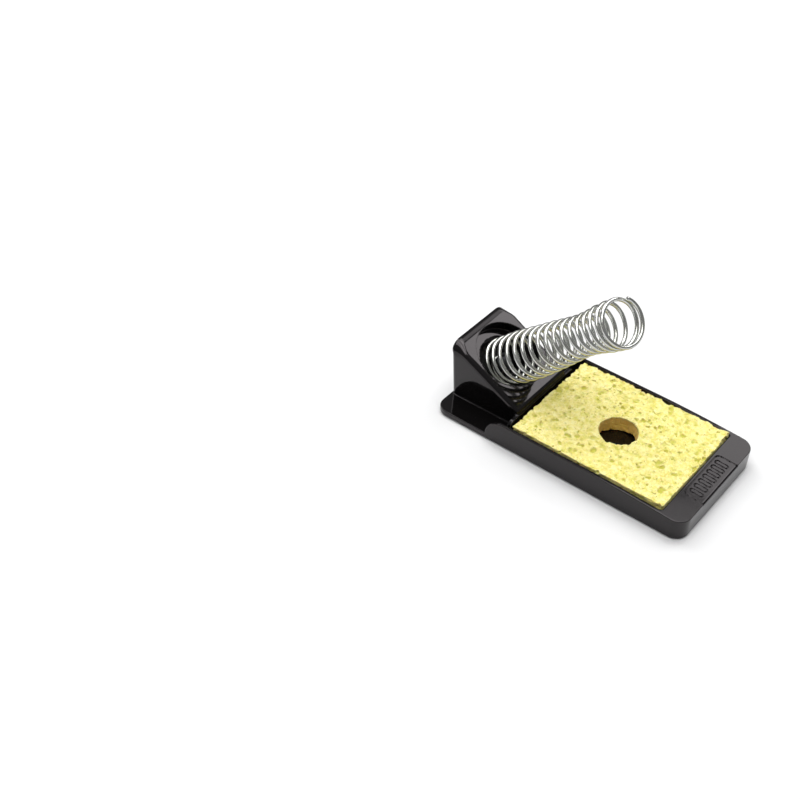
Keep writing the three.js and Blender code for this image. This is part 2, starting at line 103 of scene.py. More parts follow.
def surface(f, xs, ys, zs, reach=0.4):
    """Quads on the zero level of f over a grid, drawn onto it exactly.
    Returns points, quads and unit normals."""
    x, y, z = (np.asarray(a, float) for a in (xs, ys, zs))
    shape = (len(x), len(y), len(z))
    F = np.empty(shape, np.float32)
    step = max(1, int(4e5 // (shape[1] * shape[2])))
    for i in range(0, shape[0], step):
        F[i:i + step] = np.broadcast_to(
            f(x[i:i + step, None, None], y[None, :, None], z[None, None, :]),
            (len(x[i:i + step]),) + shape[1:],
        )
    F[F == 0] = 1e-6
    inside = F < 0
    count = np.zeros(tuple(n - 1 for n in shape), np.int8)
    for a in (0, 1):
        for b in (0, 1):
            for c in (0, 1):
                count += inside[a:shape[0] - 1 + a, b:shape[1] - 1 + b, c:shape[2] - 1 + c]
    live = (count > 0) & (count < 8)
    ident = np.full(count.shape, -1, np.int32)
    ident[live] = np.arange(int(live.sum()))
    i, j, k = np.nonzero(live)
    total = np.zeros((len(i), 3))
    hits = np.zeros(len(i))
    corners = [(a, b, c) for a in (0, 1) for b in (0, 1) for c in (0, 1)]
    for a in corners:
        for axis in range(3):
            if a[axis]:
                continue
            b = list(a)
            b[axis] = 1
            va = F[i + a[0], j + a[1], k + a[2]].astype(float)
            vb = F[i + b[0], j + b[1], k + b[2]].astype(float)
            m = (va < 0) != (vb < 0)
            t = np.where(m, va / np.where(m, va - vb, 1), 0)
            pa = np.stack((x[i + a[0]], y[j + a[1]], z[k + a[2]]), 1)
            pb = np.stack((x[i + b[0]], y[j + b[1]], z[k + b[2]]), 1)
            total += np.where(m[:, None], pa + (pb - pa) * t[:, None], 0)
            hits += m
    p = total / hits[:, None]
    for _ in range(5):
        v = f(*p.T)
        g = gradient(f, p)
        n2 = np.maximum((g * g).sum(1), 0.05)
        move = -(v / n2)[:, None] * g
        far = length(*move.T)
        move *= np.minimum(1, reach * 0.5 / np.maximum(far, 1e-9))[:, None]
        p = p + move
    quads = []
    ax = inside[:-1, 1:-1, 1:-1] != inside[1:, 1:-1, 1:-1]
    ci, cj, ck = np.nonzero(ax)
    cj, ck = cj + 1, ck + 1
    q = np.stack((ident[ci, cj - 1, ck - 1], ident[ci, cj, ck - 1], ident[ci, cj, ck], ident[ci, cj - 1, ck]), 1)
    back = ~inside[ci, cj, ck]
    q[back] = q[back][:, ::-1]
    quads.append(q)
    ay = inside[1:-1, :-1, 1:-1] != inside[1:-1, 1:, 1:-1]
    ci, cj, ck = np.nonzero(ay)
    ci, ck = ci + 1, ck + 1
    q = np.stack((ident[ci - 1, cj, ck - 1], ident[ci - 1, cj, ck], ident[ci, cj, ck], ident[ci, cj, ck - 1]), 1)
    back = ~inside[ci, cj, ck]
    q[back] = q[back][:, ::-1]
    quads.append(q)
    az = inside[1:-1, 1:-1, :-1] != inside[1:-1, 1:-1, 1:]
    ci, cj, ck = np.nonzero(az)
    ci, cj = ci + 1, cj + 1
    q = np.stack((ident[ci - 1, cj - 1, ck], ident[ci, cj - 1, ck], ident[ci, cj, ck], ident[ci - 1, cj, ck]), 1)
    back = ~inside[ci, cj, ck]
    q[back] = q[back][:, ::-1]
    quads.append(q)
    g = gradient(f, p)
    g /= np.maximum(length(*g.T), 1e-9)[:, None]
    return p, np.concatenate(quads), g


def spaced(*spans):
    """Grid line positions from (start, end, spacing) spans laid end to end."""
    out = []
    for a, b, d in spans:
        n = max(1, int(round((b - a) / d)))
        out.append(np.linspace(a, b, n, endpoint=False))
    out.append([spans[-1][1]])
    return np.concatenate(out)


def add_mesh(name, points, faces, normals=None, row=True):
    """faces is an array of quads, or a list of tuples."""
    me = bpy.data.meshes.new(name)
    p = to_row(points) if row else np.asarray(points, float)
    if isinstance(faces, np.ndarray):
        me.vertices.add(len(p))
        me.vertices.foreach_set("co", p.astype(np.float32).ravel())
        me.loops.add(faces.size)
        me.loops.foreach_set("vertex_index", faces.astype(np.int32).ravel())
        me.polygons.add(len(faces))
        me.polygons.foreach_set("loop_start", np.arange(0, faces.size, faces.shape[1], dtype=np.int32))
        me.update(calc_edges=True)
        me.validate()
    else:
        me.from_pydata(p.tolist(), [], faces)
        me.update()
    me.shade_smooth()
    if normals is not None and len(me.vertices) == len(normals):
        me.normals_split_custom_set_from_vertices(normals.tolist())
    ob = bpy.data.objects.new(name, me)
    bpy.context.scene.collection.objects.link(ob)
    return ob


# ------------------------------------------------------------ the coil's axis

def hermite(rows, column=1):
    rows = np.asarray(rows, float)
    xs, v = rows[:, 0], rows[:, column]
    m = np.empty(len(xs))
    m[0] = (v[1] - v[0]) / (xs[1] - xs[0])
    m[-1] = (v[-1] - v[-2]) / (xs[-1] - xs[-2])
    m[1:-1] = (v[2:] - v[:-2]) / (xs[2:] - xs[:-2])

    def at(x):
        x = np.asarray(x, float)
        i = np.clip(np.searchsorted(xs, x, side="left") - 1, 0, len(xs) - 2)
        h = xs[i + 1] - xs[i]
        t = (x - xs[i]) / h
        t2, t3 = t * t, t * t * t
        return (
            (2 * t3 - 3 * t2 + 1) * v[i]
            + (t3 - 2 * t2 + t) * m[i] * h
            + (3 * t2 - 2 * t3) * v[i + 1]
            + (t3 - t2) * m[i + 1] * h
        )

    return at


AXIS = [
    (-12, 66.8, 16.9), (0, 57.9, 24.7), (24, 39.95, 40.5),
    (48, 22.5, 57.0), (72, 5.0, 73.5), (92, -9.9, 86.6),
]
OUTER_R = [
    (-8, 15.0), (0, 15.15), (10, 15.35), (20, 15.1), (30, 14.4), (42, 13.6),
    (54, 12.6), (63, 12.05), (72, 12.6), (80, 13.75), (90, 14.4),
]
TAIL_S = -7.25
TURNS = [
    (0, 89.9), (1, 87.0), (2, 82.7), (3, 77.4), (4, 71.9), (5, 66.2),
    (10, 36.4), (15, 5.3), (16.4, -3.0), (17.2, TAIL_S),
]
TILT = [  # turns back from the mouth, degrees that the turn leans to one side
    (0, 7.2), (1, 6.8), (2, -1.5), (3, -6.3), (4, -5.5), (6, -3), (9, 0), (19, 0),
]
COIL_TURNS, SPIRAL_TURNS, EYE_TURNS = 17.2, 0.8, 0.8
EYE_R, WIRE_D = 3.5, 2.4

axis_y, axis_z = hermite(AXIS, 1), hermite(AXIS, 2)
outer_r, s_of_turn = hermite(OUTER_R), hermite(TURNS)


def axis_point(s):
    s = np.atleast_1d(np.asarray(s, float))
    return np.stack((np.zeros_like(s), axis_y(s), axis_z(s)), 1)


def axis_dir(s):
    d = axis_point(np.atleast_1d(s) + 0.5) - axis_point(np.atleast_1d(s) - 0.5)
    return d / length(*d.T)[:, None]


SEAT_DIR = axis_dir(-6)[0]
SEAT_0 = axis_point(0)[0]


def seat_point(s):
    return SEAT_0 + s * SEAT_DIR


def seat_frame(s):
    """Columns of a rotation whose +Z is the seat's axis, and the place at s."""
    z = SEAT_DIR
    x = np.array([1.0, 0, 0])
    return np.stack((x, np.cross(z, x), z), 1), seat_point(s)


# --------------------------------------------------------------- base moulding

SLOPE = math.radians(29.5)
SN = np.array([0, -math.sin(SLOPE), math.cos(SLOPE)])
SLOPE_Y0, SLOPE_Z0 = 33.0, 13.8
BORE_Y = 59.4
BORE_C = np.array([0, BORE_Y, SLOPE_Z0 + (BORE_Y - SLOPE_Y0) * math.tan(SLOPE)])
PITCH = 1.5 / 12.3
CROWN_Y, CROWN_R = 77.2, 10.8
CROWN_Z = SLOPE_Z0 + (CROWN_Y - SLOPE_Y0) * math.tan(SLOPE)


def block_field(x, y, z):
    top = (y - SLOPE_Y0) * SN[1] + (z - SLOPE_Z0) * SN[2]
    # the sloping face rounds over to level at the rear
    past = (y - CROWN_Y) * SN[2] - (z - CROWN_Z) * SN[1]
    over = length(y - CROWN_Y + CROWN_R * SN[1], z - CROWN_Z + CROWN_R * SN[2]) - CROWN_R
    top = np.where(past < 0, top, over)
    side = np.abs(x) - (24.1 + 1.1 * (z - 3.3) / 36)
    rear = y - (81.4 + 1.45 * (z - 3.3) / 36)
    b = meet(side, top, 3.0 + 4.6 * smooth((y - 72) / 9))
    b = meet(b, rear, 3.1 - 2.0 * smooth((z - 32) / 5))
    b = meet(b, 34.4 - y, 1.5)
    # round seat, square to the face, and the pocket along the coil's axis
    ty = (y - BORE_C[1]) * SN[1] + (z - BORE_C[2]) * SN[2]
    dy, dz = y - BORE_C[1] - ty * SN[1], z - BORE_C[2] - ty * SN[2]
    bore = meet(length(x + 0 * y, dy, dz) - 20.7, -(ty + 6.5), 0.7)
    s = (y - SEAT_0[1]) * SEAT_DIR[1] + (z - SEAT_0[2]) * SEAT_DIR[2]
    ey, ez = y - SEAT_0[1] - s * SEAT_DIR[1], z - SEAT_0[2] - s * SEAT_DIR[2]
    rad = length(x + 0 * y, ey, ez)
    pocket = meet(rad - 16.2, -(s + 9.5), 0.6)
    cut = join(bore, pocket, 0.35)
    b = meet(b, -cut, 0.3)
    boss = meet(rad - 6.0, s + 8.9, 0.25)
    boss = np.maximum(boss, -(s + 11))
    return np.minimum(b, boss)


def base_field(x, y, z):
    plan = rect2(x, y, -40, 40, -81, 81.5, 8)
    # height profile of walls, ramps and front panel
    wall = np.where(y < 34.3, z - 15.0, length(np.maximum(y - 34.3, 0), z - 3.3) - 11.7)
    panel = (z - 15 - (y + 67.5) * PITCH) / math.sqrt(1 + PITCH * PITCH)
    top = meet(wall, panel, 6.0)
    top = join(top, z - 3.3 + 0 * y, 0.7)
    # the middle of the panel rolls over its front edge
    mid = 1 - smooth((np.abs(x) - 18.6) / 1.2)
    edge = 0.45 + 1.3 * mid * (1 - smooth((y + 60) / 10))
    body = meet(plan, top, edge)
    whole = body
    # framed field, slightly lower than the panel round it, open at the front
    outline = rect2(x, y, -18.9, 18.9, -90, -68.4, 3.2)
    field = np.maximum(outline, -(body + 0.75 * smooth((z - 8.0) / 5.0) - 0.5))
    body = meet(body, -field, 0.12)
    groove = np.maximum(np.abs(outline) - 0.3, -(whole + 0.95 * smooth((z - 9.5) / 3.5) - 0.35))
    body = meet(body, -groove, 0.08)
    # tray and the space behind it, down to the tray's floor and the ledge
    cutplan = rect2(x, y, -38, 38, -66.5, 60, 2.5)
    floor = join(meet(z - 5.0, y - 33.8, 0.4), z - 3.3 + 0 * y, 0.4)
    keep = join(-cutplan, floor, 0.9)
    rim = 0.5 - 0.47 * smooth((y - 44) / 2.5)
    body = meet(body, keep, rim)
    # grip bars in the field, each in its own sunken outline
    xr = x - 4.6 * np.clip(np.round(x / 4.6), -3, 3)
    bar = rect2(xr, y, -1.0, 1.0, -77.4, -70.2, 0.98)
    trench = np.maximum(bar - 0.55, -(whole + 0.85))
    body = meet(body, -trench, 0.08)
    body = np.minimum(body, meet(bar, whole + 0.02, 0.25))
    # dam across the rear of the tray
    dam = meet(rect2(x, z, -33, 33, -20, 12, 4.5), np.abs(y - 34.8) - 1.2, 0.55)
    dam = np.maximum(dam, -(z - 1))
    block = block_field(x, y, z)
    solid = join(body, dam, 0.5)
    fillet = 0.02 + 0.85 * (1 - smooth((y - 76.5) / 3.0))
    solid = join(solid, np.maximum(block, 1 - z), fillet)
    # bottom edge, and the recess that the steel plate lies in
    solid = meet(solid, -z + 0 * x, 0.4)
    under = np.maximum(rect2(x, y, -37.8, 37.8, -78.8, 79.3, 5.8), z - 2.05)
    return meet(solid, -under, 0.15)


xs = spaced((-40.6, -36.6, 0.28), (-36.6, -25.6, 1.2), (-25.6, -19.7, 0.55), (-19.7, 19.7, 0.46), (19.7, 25.6, 0.55),
            (25.6, 36.6, 1.2), (36.6, 40.6, 0.28))
ys = spaced((-81.6, -78.4, 0.36), (-78.4, -67.6, 0.27), (-67.6, -66.0, 0.36), (-66.0, 32.5, 2.6), (32.5, 37.0, 0.36),
            (37.0, 79.5, 0.7), (79.5, 83.6, 0.36))
zs = spaced((-0.6, 0.6, 0.3), (0.6, 2.0, 0.5), (2.0, 6.2, 0.33), (6.2, 11.4, 0.8), (11.4, 15.6, 0.3),
            (15.6, 37.2, 0.7), (37.2, 41.4, 0.38))
pts, quads, nrm = surface(base_field, xs, ys, zs)
print("base moulding:", len(pts), "points", len(quads), "quads")
base = add_mesh("base_shell", pts, quads, nrm)


# ------------------------------------------------------------------ the spring

def tube_path():
    total = COIL_TURNS + SPIRAL_TURNS + EYE_TURNS
    n = int(total * 66)
    back = total - np.arange(n + 1) / n * total
    angle = math.radians(45) - back * 2 * math.pi
    tail = float(outer_r(TAIL_S)) - WIRE_D / 2
    on_coil = back <= COIL_TURNS
    s = np.where(on_coil, s_of_turn(np.minimum(back, COIL_TURNS)), TAIL_S)
    k = smooth((back - COIL_TURNS) / SPIRAL_TURNS)
    r = np.where(on_coil, outer_r(s) - WIRE_D / 2, tail + (EYE_R - tail) * k)
    d = axis_dir(s)
    up = -np.cross(np.array([1.0, 0, 0]), d)
    lean = np.radians(hermite(TILT)(np.minimum(back, 19)))
    side = np.cos(lean)[:, None] * np.array([1.0, 0, 0]) + np.sin(lean)[:, None] * d
    radial = np.cos(angle)[:, None] * side + np.sin(angle)[:, None] * up
    return axis_point(s) + d * (r * np.sin(lean))[:, None] + radial * r[:, None], radial


def tube(name, centre, lead, radius, sides=16, soft=0.22):
    """A round wire along centre with cut ends whose rims are slightly rounded,
    and a UV map: u round the wire, v along it in millimetres."""
    t = np.gradient(centre, axis=0)
    t /= length(*t.T)[:, None]
    u = lead - (lead * t).sum(1)[:, None] * t
    u /= length(*u.T)[:, None]
    v = np.cross(t, u)
    run = np.concatenate(([0], np.cumsum(length(*(centre[1:] - centre[:-1]).T))))
    rings = []  # centre, u, v, radius, distance along
    caps = [(0.0, 0.3), (0.0, radius - soft), (0.3 * soft, radius - 0.35 * soft), (soft, radius)]
    for back, r in caps:
        rings.append((centre[0] + t[0] * back, u[0], v[0], r, run[0] + back))
    for m in range(1, len(centre) - 1):
        if run[m] > soft * 1.5 and run[-1] - run[m] > soft * 1.5:
            rings.append((centre[m], u[m], v[m], radius, run[m]))
    for back, r in reversed(caps):
        rings.append((centre[-1] - t[-1] * back, u[-1], v[-1], r, run[-1] - back))
    c = np.arange(sides) / sides * 2 * math.pi
    p = np.concatenate([q[0] + q[3] * (np.cos(c)[:, None] * q[1] + np.sin(c)[:, None] * q[2]) for q in rings])
    n = len(rings)
    p = np.concatenate((p, [rings[0][0]], [rings[-1][0]]))
    i = np.arange(n - 1)[:, None] * sides
    k = np.arange(sides)[None, :]
    k2 = (k + 1) % sides
    quads = np.stack(((i + k), (i + k2), (i + sides + k2), (i + sides + k)), -1).reshape(-1, 4)
    faces = quads.tolist()
    a, b = n * sides, n * sides + 1
    last = (n - 1) * sides
    for m in range(sides):
        faces.append((a, (m + 1) % sides, m))
        faces.append((b, last + m, last + (m + 1) % sides))
    ob = add_mesh(name, p, [tuple(f) for f in faces])
    along = np.array([q[4] for q in rings])
    uv = np.empty((n - 1, sides, 4, 2))
    kk = np.arange(sides)
    uv[:, :, 0, 0] = kk / sides
    uv[:, :, 1, 0] = (kk + 1) / sides
    uv[:, :, 2, 0] = (kk + 1) / sides
    uv[:, :, 3, 0] = kk / sides
    uv[:, :, 0, 1] = uv[:, :, 1, 1] = along[:-1, None]
    uv[:, :, 2, 1] = uv[:, :, 3, 1] = along[1:, None]
    flat = uv.reshape(-1, 2)
    rest = np.zeros((sides * 2 * 3, 2))
    layer = ob.data.uv_layers.new(name="wire")
    layer.data.foreach_set("uv", np.concatenate((flat, rest)).astype(np.float32).ravel())
    return ob


centre, lead = tube_path()
spring = tube("coil_wire", centre, lead, WIRE_D / 2)


# ------------------------------------------------------------------ the sponge

rng = np.random.default_rng(41)
SX0, SX1, SY0, SY1 = -36.4, 37.4, -66.2, 30.2
SZ0, SZ1 = 5.3, 15.3
HOLE_R, HOLE_X, HOLE_Y = 11.0, -1.4, -17.5


def value_noise(seed, cell):
    """Smooth 3-D noise from -1 to 1 on a lattice of that cell size."""
    g = np.random.default_rng(seed).uniform(-1, 1, (32, 32, 32))

    def at(x, y, z):
        u = [np.asarray(c, float) / cell + 1000.5 for c in (x, y, z)]
        i = [np.floor(c).astype(int) for c in u]
        f = [smooth(c - a) for c, a in zip(u, i)]
        out = 0
        for a in (0, 1):
            for b in (0, 1):
                for c in (0, 1):
                    w = (
                        (f[0] if a else 1 - f[0])
                        * (f[1] if b else 1 - f[1])
                        * (f[2] if c else 1 - f[2])
                    )
                    out = out + w * g[(i[0] + a) % 32, (i[1] + b) % 32, (i[2] + c) % 32]
        return out

    return at


coarse, middle, fine_n = value_noise(1, 17.0), value_noise(2, 4.2), value_noise(3, 1.5)
ragged = value_noise(5, 3.1)
cell_a, cell_b, cell_c = value_noise(11, 2.3), value_noise(12, 1.35), value_noise(13, 3.7)

# pores: groups of overlapping ellipsoids sunk in the faces
pores = []


def pore(x, y, z, size, depth, axis):
    for _ in range(int(rng.integers(2, 5))):
        a = rng.uniform(0, 2 * math.pi)
        d = rng.uniform(0.1, 0.75) * size
        r = size * rng.uniform(0.42, 0.8)
        o = [d * math.cos(a), d * math.sin(a)]
        c = [x, y, z]
        free = [k for k in range(3) if k != axis]
        c[free[0]] += o[0]
        c[free[1]] += o[1]
        radii = [r, r, r]
        radii[free[0]] *= rng.uniform(0.7, 1.35)
        radii[axis] = depth * rng.uniform(0.7, 1.2)
        pores.append((c, radii))


def scatter(count, sizes, depths, where):
    for _ in range(count):
        x, y, z, axis = where()
        pore(x, y, z, rng.uniform(*sizes), rng.uniform(*depths), axis)


def on_top():
    return rng.uniform(SX0 + 0.5, SX1 - 0.5), rng.uniform(SY0 + 0.5, SY1 - 0.5), SZ1 - 0.3, 2


def on_side():
    t, z = rng.uniform(), rng.uniform(SZ0 + 0.8, SZ1 - 0.3)
    if rng.uniform() < 0.6:
        return (SX1 if rng.uniform() < 0.5 else SX0), SY0 + t * (SY1 - SY0), z, 0
    return SX0 + t * (SX1 - SX0), (SY1 if rng.uniform() < 0.5 else SY0), z, 1


def in_hole():
    a, z = rng.uniform(0, 2 * math.pi), rng.uniform(SZ0 + 1.2, SZ1 - 0.6)
    return HOLE_X + HOLE_R * math.cos(a), HOLE_Y + HOLE_R * math.sin(a), z, 0


def below():
    return rng.uniform(SX0 + 1, SX1 - 1), rng.uniform(SY0 + 1, SY1 - 1), SZ0, 2


scatter(58, (1.2, 2.3), (0.6, 1.1), on_top)
scatter(130, (0.7, 1.25), (0.5, 1.0), on_top)
scatter(330, (0.4, 0.75), (0.4, 0.75), on_top)
scatter(60, (0.6, 1.6), (0.5, 1.0), below)
scatter(26, (1.0, 1.9), (0.8, 1.7), on_side)
scatter(90, (0.5, 1.0), (0.5, 1.1), on_side)
scatter(26, (0.5, 1.1), (0.5, 1.0), in_hole)


def sponge_field(x, y, z):
    wob = 0.32 * coarse(x, y, 0 * z)
    # torn edges on the right and at the rear, neater ones on the left and at the front
    tear = 0.7 * ragged(x, y, z) + 0.4 * middle(x, y, z) + 0.9 * cell_b(x, y, z)
    right = smooth((x - 20) / 14)
    rear = smooth((y - 16) / 12)
    edge = np.maximum(right, rear)
    inset = edge * (0.5 + tear * 0.7) + (1 - edge) * 0.12 * middle(x, y, z)
    plan = rect2(x, y, SX0, SX1, SY0, SY1, 1.1) + inset
    hole = HOLE_R - length(x - HOLE_X, y - HOLE_Y) + 0.25 * middle(x, y, z) + 0.1 * ragged(x, y, z) + 0.4 * cell_b(x, y, z) * smooth((SZ0 + 4 - z) / 3)
    top = z - (SZ1 - 0.25 + 0.5 * wob)
    f = meet(plan, top, 0.35 + 0.25 * edge)
    f = meet(f, hole + 0 * z, 0.5)
    f = meet(f, SZ0 - z, 0.4)
    return f


def relief(x, y, z):
    """Depth of the small irregular dimples that cover the foam."""
    a = smooth((cell_a(x, y, z) - 0.16) / 0.42)
    b = smooth((cell_b(x, y, z) - 0.20) / 0.45)
    c = smooth((cell_c(x, y, z) - 0.34) / 0.40)
    return 0.26 * a + 0.22 * b + 0.26 * c + 0.10 * fine_n(x, y, z) + 0.02


def sponge_mesh():
    pitch = 0.485
    xg = np.arange(SX0 - 0.8, SX1 + 0.8, pitch)
    yg = np.arange(SY0 - 0.8, SY1 + 0.8, pitch)
    zg = np.arange(SZ0 - 0.7, SZ1 + 0.7, pitch)
    # the pores are sampled on a grid, each in its own small box, and read back by interpolation
    depth = np.full((len(xg), len(yg), len(zg)), 9.0, np.float32)
    for c, r in pores:
        lo = [max(0, int((c[k] - r[k] - 1.0 - g[0]) / pitch)) for k, g in enumerate((xg, yg, zg))]
        hi = [min(len(g), int((c[k] + r[k] + 1.0 - g[0]) / pitch) + 2) for k, g in enumerate((xg, yg, zg))]
        if any(a >= b for a, b in zip(lo, hi)):
            continue
        X = xg[lo[0]:hi[0], None, None]
        Y = yg[None, lo[1]:hi[1], None]
        Z = zg[None, None, lo[2]:hi[2]]
        q = length((X - c[0]) / r[0], (Y - c[1]) / r[1], (Z - c[2]) / r[2])
        e = (q - 1) * min(r)
        part = depth[lo[0]:hi[0], lo[1]:hi[1], lo[2]:hi[2]]
        np.minimum(part, e, out=part)

    def pore_at(x, y, z):
        x, y, z = np.broadcast_arrays(x, y, z)
        u = [(x - xg[0]) / pitch, (y - yg[0]) / pitch, (z - zg[0]) / pitch]
        i = [np.clip(np.floor(c).astype(int), 0, n - 2) for c, n in zip(u, depth.shape)]
        f = [np.clip(c - a, 0, 1) for c, a in zip(u, i)]
        out = 0
        for a in (0, 1):
            for b in (0, 1):
                for c in (0, 1):
                    w = (f[0] if a else 1 - f[0]) * (f[1] if b else 1 - f[1]) * (f[2] if c else 1 - f[2])
                    out = out + w * depth[i[0] + a, i[1] + b, i[2] + c]
        return out

    def whole(x, y, z):
        return meet(sponge_field(x, y, z) + relief(x, y, z), -np.minimum(pore_at(x, y, z), 3.0), 0.25)

    p, q, n = surface(whole, xg, yg, zg)
    ob = add_mesh("sponge_pad_foam", p, q, n)
    # depth of each point below the foam's outer face; the material darkens the colour with it, painted shade in the
    # pores and dimples
    pore_shade_depth = np.clip(sponge_field(*p.T) * -1.0, 0, 3)
    a = ob.data.attributes.new("pore", "FLOAT", "POINT")
    a.data.foreach_set("value", np.clip(pore_shade_depth / 1.05, 0, 1).astype(np.float32))
    wall = smooth((1.9 - np.abs(length(p[:, 0] - HOLE_X, p[:, 1] - HOLE_Y) - HOLE_R)) / 0.6) * smooth((SZ1 - 0.6 - p[:, 2]) / 1.2)
    b = ob.data.attributes.new("cut", "FLOAT", "POINT")
    b.data.foreach_set("value", wall.astype(np.float32))
    return ob


sponge = sponge_mesh()
print("sponge:", len(sponge.data.vertices), "points")


# -------------------------------------------------------- turned and small parts

def lathe(profile, sides=64):
    """Points and faces of a profile of (radius, height) turned about Z."""
    c = np.arange(sides) / sides * 2 * math.pi
    pts, rows = [], []
    for r, h in profile:
        if r < 1e-6:
            rows.append([len(pts)])
            pts.append((0, 0, h))
        else:
            rows.append(list(range(len(pts), len(pts) + sides)))
            pts.extend((r * math.cos(a), r * math.sin(a), h) for a in c)
    faces = []
    for a, b in zip(rows[:-1], rows[1:]):
        for k in range(sides):
            k2 = (k + 1) % sides
            if len(a) == 1 and len(b) == 1:
                continue
            if len(a) == 1:
                faces.append((a[0], b[k2], b[k]))
            elif len(b) == 1:
                faces.append((a[k], a[k2], b[0]))
            else:
                faces.append((a[k], a[k2], b[k2], b[k]))
    return np.array(pts), faces


def placed(p, rotation, place):
    return np.asarray(p) @ np.asarray(rotation).T + np.asarray(place)


def arc(cr, ch, r, a0, a1, n=5):
    return [
        (cr + r * math.cos(math.radians(a0 + (a1 - a0) * i / n)), ch + r * math.sin(math.radians(a0 + (a1 - a0) * i / n)))
        for i in range(n + 1)
    ]


# washer under the coil's screw
R, place = seat_frame(TAIL_S + WIRE_D / 2 + 0.5)
prof = (
    [(1.9, 0.5), (1.9, 0.12)] + [(2.0, 0.0)] + [(5.45, 0.0)] + arc(5.4, 0.2, 0.2, -70, 0, 3)
    + arc(5.25, 0.65, 0.35, 0, 90, 5) + [(2.05, 1.0), (1.9, 0.88), (1.9, 0.5)]
)
pp, ff = lathe(prof, 72)
washer = add_mesh("seat_washer", placed(pp, R, place), ff)


def cross(x, y, z, size, width, depth, z_top, sign):
    """A tapered cross recess sunk from z_top, into -z if sign is 1 or +z if -1."""
    d = sign * (z_top - z)
    taper = np.clip(d, 0, depth) * 0.42
    a = np.maximum(np.abs(x) - (size / 2 - taper), np.abs(y) - width / 2)
    b = np.maximum(np.abs(y) - (size / 2 - taper), np.abs(x) - width / 2)
    return np.maximum(np.minimum(a, b), d - depth)


def pan_screw(x, y, z):
    r = length(x, y + 0 * z)
    dome = length(r, z + 3.4) - 5.9
    head = meet(meet(r - 3.3, -z, 0.12), dome, 0.25)
    head = np.maximum(head, z - 2.5)
    head = meet(head, -cross(x, y, z, 3.5, 0.85, 1.5, 2.5, 1), 0.06)
    shank = np.maximum(r - 1.5 + 0.22 * (0.5 + 0.5 * np.cos(2 * math.pi * z / 1.2 + np.arctan2(y, x))), z - 0.3)
    tip = r - 1.5 - (z + 11) * 0.62
    shank = np.maximum(np.maximum(shank, tip), -11 - z)
    return np.minimum(head, shank)


g = np.arange(-3.6, 3.6, 0.17)
p, q, n = surface(pan_screw, g, g, spaced((-11.3, -0.4, 0.2), (-0.4, 2.9, 0.15)), 0.15)
R, place = seat_frame(TAIL_S + WIRE_D / 2 + 0.5 + 1.3)
seat_screw = add_mesh("seat_screw", placed(p, R, place), q, placed(n, R, (0, 0, 0)))


def plate_screw_field(x, y, z):
    """Countersunk, its face down at z 0."""
    r = length(x, y + 0 * z)
    cone = (r - 2.75 + (z - 0.15) * 1.0) / 1.414
    head = meet(np.maximum(r - 2.75, cone), -z, 0.08)
    shank = r - 1.45 + 0.2 * (0.5 + 0.5 * np.cos(2 * math.pi * z / 1.1 - np.arctan2(y, x)))
    shank = np.maximum(np.maximum(shank, z - 8.2), -z + 0.8)
    shank = np.maximum(shank, r - 0.4 - (8.2 - z) * 0.66)
    f = np.minimum(np.maximum(head, z - 1.7), shank)
    return meet(f, -cross(x, y, z, 2.9, 0.75, 1.3, 0.0, -1), 0.05)


g = np.arange(-3.05, 3.05, 0.16)
p, q, n = surface(plate_screw_field, g, g, spaced((-0.35, 1.8, 0.15), (1.8, 8.6, 0.22)), 0.15)
plate_screws = []
for i, (x, y) in enumerate([(-31, -72.5), (31, -72.5), (-17, 72.5), (17, 72.5)]):
    a = math.radians([12, 41, 67, 25][i])
    R = np.array([[math.cos(a), -math.sin(a), 0], [math.sin(a), math.cos(a), 0], [0, 0, 1]])
    plate_screws.append(add_mesh(f"base_screw_{i + 1}", placed(p, R, (x, y, 0.25)), q, placed(n, R, (0, 0, 0))))

# soft feet: a low dome with a shallow moulded ring on its flat
foot_profile = (
    [(0, 0.25), (4.75, 0.25)] + arc(4.8, 0.05, 0.2, 80, 0, 3)
    + [(4.93, -0.2), (4.78, -0.42)] + arc(4.2, -0.3, 0.45, -15, -90, 6)
    + [(3.2, -0.75), (3.05, -0.72), (2.95, -0.62), (2.7, -0.62), (2.6, -0.72), (2.45, -0.75),
       (0.55, -0.75), (0.45, -0.7), (0.3, -0.64), (0, -0.64)]
)
feet = []
for i, (x, y) in enumerate([(-30, -60), (30, -60), (-30, 68), (30, 68)]):
    pp, ff = lathe(foot_profile[::-1], 64)
    feet.append(add_mesh(f"foot_pad_{i + 1}", placed(pp, np.eye(3), (x, y, 0)), ff))


def plate_field(x, y, z):
    f = meet(rect2(x, y, -37.4, 37.4, -78.4, 78.9, 5.4), np.abs(z - 1.0) - 0.75, 0.14)
    for sx, sy in ((31, -72.5), (17, 72.5)):
        r = length(np.abs(x) - sx, y - sy)
        sink = np.maximum(r - 3.2, 0.0 * z - 9)
        cone = (r - 3.2 + (z - 0.3) * 0.96) / 1.39
        hole = np.minimum(np.maximum(cone, r - 3.2), r - 1.95)
        f = meet(f, -hole, 0.05)
    return f


edge = 0.3
xs = spaced((-37.7, -36.9, 0.2), (-36.9, -35.0, 0.5), (-35, -27, 0.4), (-27, -21, 1.5), (-21, -13, 0.4), (-13, 13, 3.0),
            (13, 21, 0.4), (21, 27, 1.5), (27, 35, 0.4), (35, 36.9, 0.5), (36.9, 37.7, 0.2))
ys = spaced((-78.7, -77.9, 0.2), (-77.9, -76.5, 0.5), (-76.5, -68.5, 0.4), (-68.5, 68.5, 3.2), (68.5, 76.5, 0.4), (76.5, 78.3, 0.5), (78.3, 79.2, 0.2))
zs = spaced((0.0, 0.55, 0.14), (0.55, 1.45, 0.3), (1.45, 2.0, 0.14))
p, q, n = surface(plate_field, xs, ys, zs, 0.15)
plate = add_mesh("ballast_sheet", p, q, n)


# ------------------------------------------------------------------- materials

